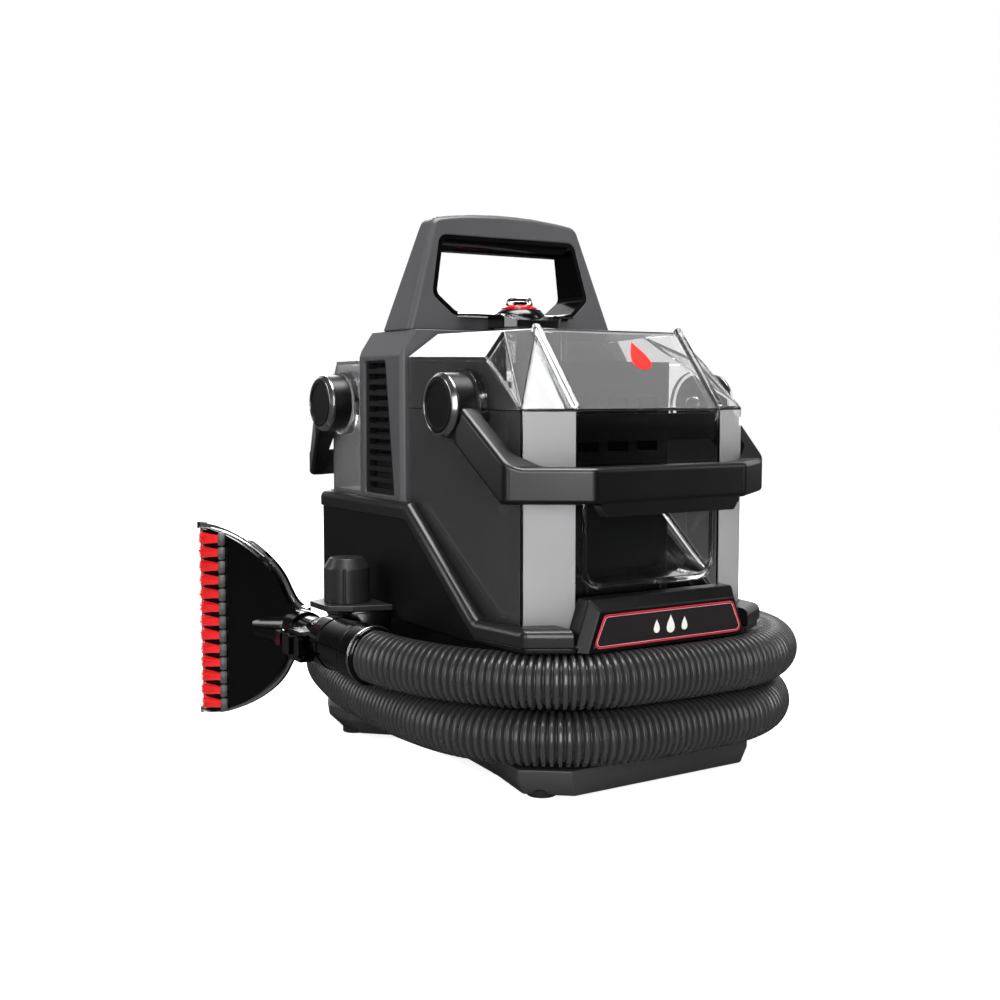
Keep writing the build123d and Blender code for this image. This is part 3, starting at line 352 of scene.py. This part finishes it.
# Painted light and shade for the clear shells' flat sides: the dark grey is painted shade on the
# left-facing sides, and the light greys and near-whites are painted highlights and reflections on the
# other facets.
PAINTED_SIDE_SHADE = srgb(58, 58, 59)
PAINTED_FACET_SHEEN = srgb(178, 178, 179)
TANK_PAINTED_FACETS = [
    ((-1, 0, 0), 0.93, PAINTED_SIDE_SHADE, 0.80),
    ((1, 0, 0), 0.93, srgb(150, 150, 152), 0.25),
    ((-0.387, -0.922, 0), 0.985, PAINTED_FACET_SHEEN, 0.78),
    ((0.387, -0.922, 0), 0.985, srgb(235, 235, 236), 0.45),
]
LID_PAINTED_FACETS = [
    ((-1, 0, 0), 0.97, PAINTED_SIDE_SHADE, 0.78),
    ((-0.55, 0, 0.83), 0.93, srgb(246, 246, 247), 0.75),
    ((-0.304, -0.725, 0.618), 0.985, srgb(214, 214, 216), 0.14),
    ((0, -0.761, 0.648), 0.985, srgb(240, 240, 242), 0.12),
    ((0.304, -0.725, 0.618), 0.985, srgb(248, 248, 249), 0.10),
    ((0, 0, 1), 0.985, srgb(242, 242, 244), 0.35),
    ((-0.846, -0.023, 0.533), 0.985, srgb(170, 170, 171), 0.3),
]
REAR_PAINTED_FACETS = [((-1, 0, 0), 0.93, srgb(132, 132, 133), 0.6)]
TANK_CLEAR = painted_facet_clear("tank_clear", (0.97, 0.972, 0.975, 1), TANK_PAINTED_FACETS, (0, -0.065, 0.17))
LID_CLEAR = painted_facet_clear("lid_clear", (0.98, 0.982, 0.985, 1), LID_PAINTED_FACETS, (0, -0.065, 0.245))
REAR_CLEAR = painted_facet_clear("rear_clear", (0.95, 0.952, 0.955, 1), REAR_PAINTED_FACETS, (0, 0.105, 0.215))
RED_CLEAR = plastic("red_clear", srgb(240, 10, 22), 0.1, grain_depth=0.02, Transmission_Weight=0.25)
NATURAL = plastic("natural", srgb(200, 200, 196), 0.5, grain_depth=0.08)
BOARD = plastic("board", srgb(24, 92, 44), 0.45, grain_depth=0.08)
HOSE_SKIN = plastic("hose_skin", srgb(50, 50, 51), 0.26, grain=1400, grain_depth=0.02)
BRISTLE = plastic("bristle", srgb(240, 22, 28), 0.38, grain=2500, grain_depth=0.1, mottle=0.3)

LOOKS = {
    DARK_GREY: ["spine_housing", "spine_nose", "carry_handle"],
    FOOT_GREY: ["foot_plate"],
    GLOSS_BLACK: ["handle_liner", "wand_cuff", "wand_body", "wand_trigger", "tool_body", "tool_latch",
                  "brush_strip"],
    CASE_BLACK: ["base_shell"],
    RIM_BLACK: ["top_deck"],
    BAIL_BLACK: ["front_bail", "rear_bail"],
    ROLL_BLACK: ["base_rim"],
    POST_BLACK: ["accessory_post", "wand_bracket"],
    SATIN_BLACK: ["front_hub_caps", "rear_hub_caps", "fill_cap", "tank_band"],
    MATT_BLACK: ["waist_shell", "rear_cover", "vent_grille_left", "vent_grille_right", "power_switch",
                 "separator_tower", "valve_cup", "motor_housing", "suction_duct", "hose_elbow",
                 "cord_hook_lower", "cord_hook_upper"],
    PLATE_BLACK: ["name_plate"],
    LINE_RED: ["plate_border"],
    RUBBER: ["rubber_feet", "tank_seal", "motor_mounts", "cord_gland"],
    STEEL: ["foot_screws", "motor_stator"],
    BRIGHT: ["front_hub_rings", "rear_hub_rings"],
    CLEAR: ["lid_ribs", "button_dome", "tool_window", "solution_tube"],
    LID_CLEAR: ["front_tank_lid"],
    TANK_CLEAR: ["front_tank_shell"],
    REAR_CLEAR: ["rear_tank_shell"],
    RED_CLEAR: ["power_button"],
    NATURAL: ["tank_float", "tank_valve", "motor_rotor", "pump_body", "pump_rotor"],
    BOARD: ["control_board"],
    BRISTLE: ["brush_tufts"],
    HOSE_SKIN: ["hose"],
}


def dress(obj, mat):
    """Gives an object one material."""
    obj.data.materials.clear()
    obj.data.materials.append(mat)


for mat, names in LOOKS.items():
    for name in names:
        dress(NODES[name], mat)
dress(hose, HOSE_SKIN)


def soften(name, width, segments=3, angle=28):
    """Moulded edges: joins up the node's flat faces and rounds its sharp corners by width, in metres."""
    obj = NODES[name]
    weld = obj.modifiers.new("weld", "WELD")
    weld.merge_threshold = 0.00002
    flat = obj.modifiers.new("flat", "DECIMATE")
    flat.decimate_type = "DISSOLVE"
    flat.angle_limit = math.radians(2)
    round_off = obj.modifiers.new("round", "BEVEL")
    round_off.width = width
    round_off.segments = segments
    round_off.limit_method = "ANGLE"
    round_off.angle_limit = math.radians(angle)
    round_off.use_clamp_overlap = False
    even = obj.modifiers.new("even", "WEIGHTED_NORMAL")
    even.keep_sharp = False
    obj.data.shade_smooth()


EDGE_WIDTHS = {
    0.00120: ["carry_handle", "spine_nose"],
    0.00100: ["spine_housing", "base_shell", "front_tank_lid", "foot_plate"],
    0.00060: ["base_rim", "top_deck", "accessory_post", "wand_bracket"],
    0.00045: ["front_tank_shell", "rear_tank_shell"],
    0.00040: ["front_hub_rings", "rear_hub_rings"],
    0.00030: ["front_hub_caps", "rear_hub_caps", "name_plate"],
}
for width, names in EDGE_WIDTHS.items():
    for name in names:
        soften(name, width)


# ---------------------------------------------------------------- detail pieces
BUTTON_Y = 8.0  # mm, as in part.py
PLATE_Y = -163.2  # mm, the front of the name plate


def placed(obj, body, slot, mat, *nodes):
    """Gives a new piece its body and material, and hides the CAD nodes that it stands for; slot is not
    used.
    """
    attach(obj, body)
    dress(obj, mat)
    if nodes:
        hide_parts(*nodes)
    return obj


def rounded(corners, radius, steps=8):
    """A closed flat outline with its corners rounded."""
    made = []
    n = len(corners)
    for i in range(n):
        a, b, c = [Vector(corners[k % n]) for k in (i - 1, i, i + 1)]
        u, v = ((a - b).normalized(), (c - b).normalized())
        half = u.angle(v) / 2
        middle = b + (u + v).normalized() * radius / math.sin(half)
        start, end = (b + u * radius / math.tan(half) - middle, b + v * radius / math.tan(half) - middle)
        sweep = start.angle(end)
        for k in range(steps + 1):
            f = k / steps
            turned = math.sin((1 - f) * sweep) * start + math.sin(f * sweep) * end
            made.append(middle + turned / math.sin(sweep))
    return made


def loop_band(name, outline, section, y):
    """A closed band round a front outline (x, z), in mm; section holds (outwards, forwards) points."""
    bm = bmesh.new()
    n = len(outline)
    rings = []
    for i, p in enumerate(outline):
        ahead = (outline[(i + 1) % n] - outline[i - 1]).normalized()
        out = Vector((ahead.y, -ahead.x))
        ring = []
        for a, b in section:
            ring.append(bm.verts.new((MM * (p.x + out.x * a), MM * (y - b), MM * (p.y + out.y * a))))
        rings.append(ring)
    m = len(section)
    for i in range(n):
        a, b = (rings[i], rings[(i + 1) % n])
        for k in range(m):
            bm.faces.new((a[k], a[(k + 1) % m], b[(k + 1) % m], b[k]))
    bmesh.ops.remove_doubles(bm, verts=bm.verts, dist=1e-7)
    bmesh.ops.recalc_face_normals(bm, faces=bm.faces)
    return finish_mesh(name, bm)


def round_section(radius, count=14):
    turns = [2 * math.pi * k / count for k in range(count)]
    return [(radius * math.cos(a), radius * math.sin(a)) for a in turns]


def medal(name, outlines, origin, across, up, thick):
    """Flat marks with bevelled fronts: closed outlines (mm) on the plane through origin."""
    bm = bmesh.new()
    origin, across, up = (Vector(origin), Vector(across).normalized(), Vector(up).normalized())
    front = across.cross(up)
    for outline in outlines:
        middle = sum((Vector(p) for p in outline), Vector((0, 0))) / len(outline)
        rows = []
        for shrink, height in ((1.0, -0.02), (1.0, 0.5 * thick), (0.95, thick)):
            row = []
            for p in outline:
                q = middle + (Vector(p) - middle) * shrink
                row.append(bm.verts.new(MM * (origin + across * q.x + up * q.y + front * height)))
            rows.append(row)
        n = len(outline)
        for a, b in zip(rows, rows[1:]):
            for k in range(n):
                bm.faces.new((a[k], a[(k + 1) % n], b[(k + 1) % n], b[k]))
        bm.faces.new(rows[-1])
        bm.faces.new(list(reversed(rows[0])))
    bmesh.ops.triangulate(bm, faces=[f for f in bm.faces if len(f.verts) > 4])
    bmesh.ops.recalc_face_normals(bm, faces=bm.faces)
    return finish_mesh(name, bm, smooth=False)


def droplet(x, z, half_width, half_height, count=36):
    """A plain water drop, point upwards."""
    made = []
    for k in range(count):
        t = 2 * math.pi * k / count
        wide = 1.3 * math.sin(t) * abs(math.sin(t / 2)) ** 1.5
        made.append((x + half_width * wide, z + half_height * math.cos(t)))
    return made


# The name plate's printed outline: a red line with a thin pale line inside it.
PLATE = [(-58.6, 91.3), (-50.6, 110.7), (50.6, 110.7), (58.6, 91.3)]
FLAT_LINE = [(0.45, -0.1), (0.36, 0.35), (-0.36, 0.35), (-0.45, -0.1)]
outline = loop_band("plate_outline", rounded(PLATE, 3.2), FLAT_LINE, PLATE_Y)
placed(outline, "chassis", "red_print", LINE_RED, "plate_border")
inner = [(x * 0.982, 101 + (z - 101) * 0.90) for x, z in PLATE]
thin_line = [(a * 0.42, b * 0.9) for a, b in FLAT_LINE]
inner_line = loop_band("plate_inner_line", rounded(inner, 2.6), thin_line, PLATE_Y)
placed(inner_line, "chassis", "red_print", LINE_PINK)

# Plain drops stand where the real plate and lid carry words and a mark.
drops = [droplet(-11, 100.6, 2.5, 4.2), droplet(0, 101.2, 3.4, 5.6), droplet(11, 100.6, 2.5, 4.2)]
plate_drops = medal("plate_drops", drops, (0, PLATE_Y, 0), (1, 0, 0), (0, 0, 1), 0.3)
placed(plate_drops, "chassis", "white_plastic", PRINT_PALE)
LID_UP = Vector((0, 43.0, 50.5)).normalized()
badge_at = Vector((12.5, -142, 232.5)) + LID_UP * 45
lid_drop = medal("lid_drop", [droplet(0, 0, 8.2, 12.0)], badge_at, (1, 0, 0), LID_UP, 0.35)
placed(lid_drop, "tank_lid", "red_print", BADGE_RED)

# The clear lip round the tank's finger recess, and the strut across it.
pocket = rounded([(-51.2, 124.8), (-51.2, 192.2), (51.2, 192.2), (51.2, 124.8)], 12.6, 10)
lip = loop_band("pocket_lip", pocket, round_section(2.1), -142.0)
placed(lip, "front_tank", "clear_plastic", CLEAR)


def straight_tube(name, start, end, radius, steps=10, around=16):
    """A straight tube with rounded ends, in mm."""
    line = [Vector(start).lerp(Vector(end), i / steps) * MM for i in range(steps + 1)]
    ends = [0.55, 0.9] + [1.0] * (steps - 3) + [0.9, 0.55]
    return tube_mesh(name, line, [radius * MM * e for e in ends], around)


strut = straight_tube("pocket_strut", (24, -120.6, 171), (47.0, -140.2, 130.5), 2.0)
placed(strut, "front_tank", "clear_plastic", CLEAR)

# The brush: a bundle of bristles for each tuft, and the moulded blocks that hold them.
TOOL_ROOT = Vector((-143.4, 74.0, 76.0))
LEAN = math.radians(32)
ALONG = Vector((-math.sin(LEAN), math.cos(LEAN), 0))
BACK = Vector((math.cos(LEAN), math.sin(LEAN), 0))
UP = Vector((0, 0, 1))
TUFT_PITCH = 10.9 * 0.93
TUFTS = range(-6, 7)  # counted from the middle one
STRANDS = 56
GOLDEN_TURN = 2.39996
FOOT_S, HALF_S, TIP_S = (63.0, 73.0, 82.0)
TUFT_BACK = -7.2


def tool_point(s, across, back):
    """A point on the hand tool: s along its length, across its width and behind its face, in mm."""
    return MM * (TOOL_ROOT + ALONG * s + UP * across + BACK * back)


random.seed(7)
bm = bmesh.new()
for tuft in TUFTS:
    middle = tuft * TUFT_PITCH
    for k in range(STRANDS):
        r = math.sqrt((k + 0.5) / STRANDS)
        a = k * GOLDEN_TURN
        u, v = (r * math.cos(a), r * math.sin(a))
        lift = random.uniform(-0.9, 0.15)
        foot = (FOOT_S, middle + 2.3 * u, TUFT_BACK + 2.0 * v)
        half = (HALF_S, middle + 3.4 * u + random.uniform(-0.15, 0.15), TUFT_BACK + 2.5 * v)
        tip = (TIP_S + lift, middle + 4.6 * u + random.uniform(-0.3, 0.3), TUFT_BACK + 3.1 * v)
        rows = []
        for (s, across, back), thick in ((foot, 0.36), (half, 0.36), (tip, 0.24)):
            row = []
            for q in (0.8, 2.37, 3.94, 5.51):
                at = tool_point(s, across + thick * math.cos(q), back + thick * math.sin(q))
                row.append(bm.verts.new(at))
            rows.append(row)
        for lower, upper in zip(rows, rows[1:]):
            for m in range(4):
                bm.faces.new((lower[m], lower[(m + 1) % 4], upper[(m + 1) % 4], upper[m]))
        bm.faces.new(rows[-1])
        bm.faces.new(list(reversed(rows[0])))
bmesh.ops.recalc_face_normals(bm, faces=bm.faces)
bristles = finish_mesh("bristle_bundles", bm, smooth=False)
placed(bristles, "tool_head", "red_bristle", BRISTLE, "brush_tufts")

bm = bmesh.new()
for tuft in TUFTS:
    middle = tuft * TUFT_PITCH
    corners = []
    for s in (60.0, 64.2):
        for across in (middle - 4.5, middle + 4.5):
            for back in (-9.6, -3.4):
                corners.append(bm.verts.new(tool_point(s, across, back)))
    for face in ((0, 1, 3, 2), (4, 6, 7, 5), (0, 4, 5, 1), (2, 3, 7, 6), (0, 2, 6, 4), (1, 5, 7, 3)):
        bm.faces.new([corners[i] for i in face])
bmesh.ops.recalc_face_normals(bm, faces=bm.faces)
bmesh.ops.bevel(bm, geom=list(bm.edges), offset=0.0005, segments=2, affect="EDGES")
strip_blocks = finish_mesh("strip_blocks", bm)
placed(strip_blocks, "tool_head", "grey_plastic", STRIP_GREY)

# The hose's end sleeve, with its thin bright line.
SLEEVE_R = 0.0193
sleeve_line = resample(route, 0.0008)[-21:]
sleeve_radii = [0.0172, 0.0186] + [SLEEVE_R] * 19
hose_sleeve = tube_mesh("hose_sleeve", sleeve_line, sleeve_radii, 48)
placed(hose_sleeve, "chassis", "black_gloss", GLOSS_BLACK)
ring_radii = [SLEEVE_R - 0.0002, SLEEVE_R + 0.0004, SLEEVE_R + 0.0004, SLEEVE_R - 0.0002]
sleeve_ring = tube_mesh("sleeve_ring", sleeve_line[3:7], ring_radii, 48)
placed(sleeve_ring, "chassis", "bright_trim", BRIGHT)


def prism(name, outline, y_low, y_high, edge):
    """A block along Y with the given (x, z) outline in mm, its edges rounded."""
    bm = bmesh.new()
    rows = [[bm.verts.new((x * MM, y * MM, z * MM)) for x, z in outline] for y in (y_low, y_high)]
    n = len(outline)
    for k in range(n):
        bm.faces.new((rows[0][k], rows[0][(k + 1) % n], rows[1][(k + 1) % n], rows[1][k]))
    bm.faces.new(rows[1])
    bm.faces.new(list(reversed(rows[0])))
    bmesh.ops.recalc_face_normals(bm, faces=bm.faces)
    sharp = [e for e in bm.edges if e.calc_face_angle() > 0.5]
    bmesh.ops.bevel(bm, geom=sharp, offset=edge * MM, segments=3, affect="EDGES")
    return finish_mesh(name, bm)


# The saddle that the wand lies against, under its shelf.
CRADLE_X, CRADLE_Z, CRADLE_R = (-142, 74, 20.9)
saddle = [(-101.0, 60.0), (-101.0, 93.2), (-127.4, 93.2)]
for degrees in range(54, -41, -6):
    a = math.radians(degrees)
    saddle.append((CRADLE_X + CRADLE_R * math.cos(a), CRADLE_Z + CRADLE_R * math.sin(a)))
saddle.append((-125.0, 60.0))
placed(prism("wand_saddle", saddle, 14, 70, 0.8), "chassis", "black_matte", SATIN_BLACK)

# The collar that closes the deck under the power button's bezel, as (radius, height) round the button.
COLLAR = [(12.9, 301.4), (15.4, 301.4), (16.6, 299.6), (18.6, 297.6), (19.4, 293.0), (12.9, 293.0)]
COLLAR_STEPS = 48
bm = bmesh.new()
rows = []
for k in range(COLLAR_STEPS):
    a = 2 * math.pi * k / COLLAR_STEPS
    row = []
    for r, z in COLLAR:
        row.append(bm.verts.new((MM * r * math.cos(a), MM * (BUTTON_Y + r * math.sin(a)), MM * z)))
    rows.append(row)
for k in range(COLLAR_STEPS):
    a, b = (rows[k], rows[(k + 1) % COLLAR_STEPS])
    for m in range(len(COLLAR)):
        n = (m + 1) % len(COLLAR)
        bm.faces.new((a[m], b[m], b[n], a[n]))
bmesh.ops.recalc_face_normals(bm, faces=bm.faces)
placed(finish_mesh("button_collar", bm), "chassis", "black_gloss", RIM_BLACK)

# The hose is one cord, and the wand and hand tool are at its end; here its route is only resampled at 4
# mm, and the result is not kept.
resample(route, 0.004)


# ---------------------------------------------------------------- stage and light
FLOOR_REACH = 8.0
bm = bmesh.new()
corners = [(-FLOOR_REACH, -FLOOR_REACH, 0), (FLOOR_REACH, -FLOOR_REACH, 0)]
corners += [(FLOOR_REACH, FLOOR_REACH, 0), (-FLOOR_REACH, FLOOR_REACH, 0)]
bm.faces.new([bm.verts.new(c) for c in corners])
floor = finish_mesh("floor", bm, smooth=False)
paper = plastic("floor_paper", (0.80, 0.80, 0.805, 1), 0.8, mottle=0.01, grain=60, grain_depth=0.02)
dress(floor, paper)
# The floor glows a little for the eye, and is dim in reflections, like paper under a flagged light.
tree = paper.node_tree
paper_shader = tree.nodes["Principled BSDF"]
path = tree.nodes.new("ShaderNodeLightPath")
seen = tree.nodes.new("ShaderNodeMath")
seen.operation = "MULTIPLY"
seen.inputs[1].default_value = 0.85
tree.links.new(path.outputs["Is Camera Ray"], seen.inputs[0])
paper_shader.inputs["Emission Color"].default_value = (1, 1, 1, 1)
tree.links.new(seen.outputs["Value"], paper_shader.inputs["Emission Strength"])
dim = tree.nodes.new("ShaderNodeMath")
dim.operation = "MULTIPLY"
dim.inputs[1].default_value = 0.95
tree.links.new(path.outputs["Is Glossy Ray"], dim.inputs[0])
dark = tree.nodes.new("ShaderNodeBsdfDiffuse")
dark.inputs["Color"].default_value = (0.02, 0.02, 0.02, 1)
blend = tree.nodes.new("ShaderNodeMixShader")
tree.links.new(dim.outputs["Value"], blend.inputs["Fac"])
tree.links.new(paper_shader.outputs["BSDF"], blend.inputs[1])
tree.links.new(dark.outputs["BSDF"], blend.inputs[2])
tree.links.new(blend.outputs["Shader"], tree.nodes["Material Output"].inputs["Surface"])

# A dim room, bright behind the object, and white where it is seen directly.
world = bpy.data.worlds.new("studio")
world.use_nodes = True
sky = world.node_tree
facing = sky.nodes.new("ShaderNodeTexCoord")
behind = sky.nodes.new("ShaderNodeVectorMath")
behind.operation = "DOT_PRODUCT"
behind.inputs[1].default_value = (0.535, 0.845, 0.0)
sky.links.new(facing.outputs["Generated"], behind.inputs[0])
shade = sky.nodes.new("ShaderNodeMapRange")
shade.interpolation_type = "SMOOTHSTEP"
shade.inputs["From Min"].default_value = 0.5
shade.inputs["From Max"].default_value = 0.9
shade.inputs["To Min"].default_value = 0.06
shade.inputs["To Max"].default_value = 1.0
sky.links.new(behind.outputs["Value"], shade.inputs["Value"])
direct = sky.nodes.new("ShaderNodeLightPath")
whole = sky.nodes.new("ShaderNodeMath")
whole.operation = "MAXIMUM"
sky.links.new(shade.outputs["Result"], whole.inputs[0])
sky.links.new(direct.outputs["Is Camera Ray"], whole.inputs[1])
sky.links.new(whole.outputs["Value"], sky.nodes["Background"].inputs["Strength"])
sky.nodes["Background"].inputs["Color"].default_value = (1.0, 1.0, 1.0, 1)
scene.world = world


def soft_light(name, place, target, size, power):
    """A rectangular light that faces a target."""
    data = bpy.data.lights.new(name, "AREA")
    data.shape = "RECTANGLE"
    data.size, data.size_y = size
    data.energy = power
    lamp = bpy.data.objects.new(name, data)
    lamp.location = place
    lamp.rotation_euler = (Vector(target) - Vector(place)).to_track_quat("-Z", "Y").to_euler()
    scene.collection.objects.link(lamp)


soft_light("overhead", (0.0, -0.15, 1.6), (0, 0, 0.2), (1.25, 0.9), 42)
soft_light("front_softbox", (-0.80, -1.35, 0.55), (0, 0, 0.15), (0.42, 0.95), 12)
soft_light("left_strip", (-1.5, 0.9, 0.8), (0, 0, 0.2), (0.25, 1.2), 7)
soft_light("right_strip", (1.3, -1.1, 0.7), (0, 0, 0.15), (0.20, 1.1), 4)
soft_light("near_left_strip", (-1.35, -0.88, 0.45), (0, 0, 0.2), (0.18, 0.9), 4)
soft_light("rear_softbox", (0.7, 1.6, 0.9), (0, 0, 0.15), (0.9, 0.7), 12)
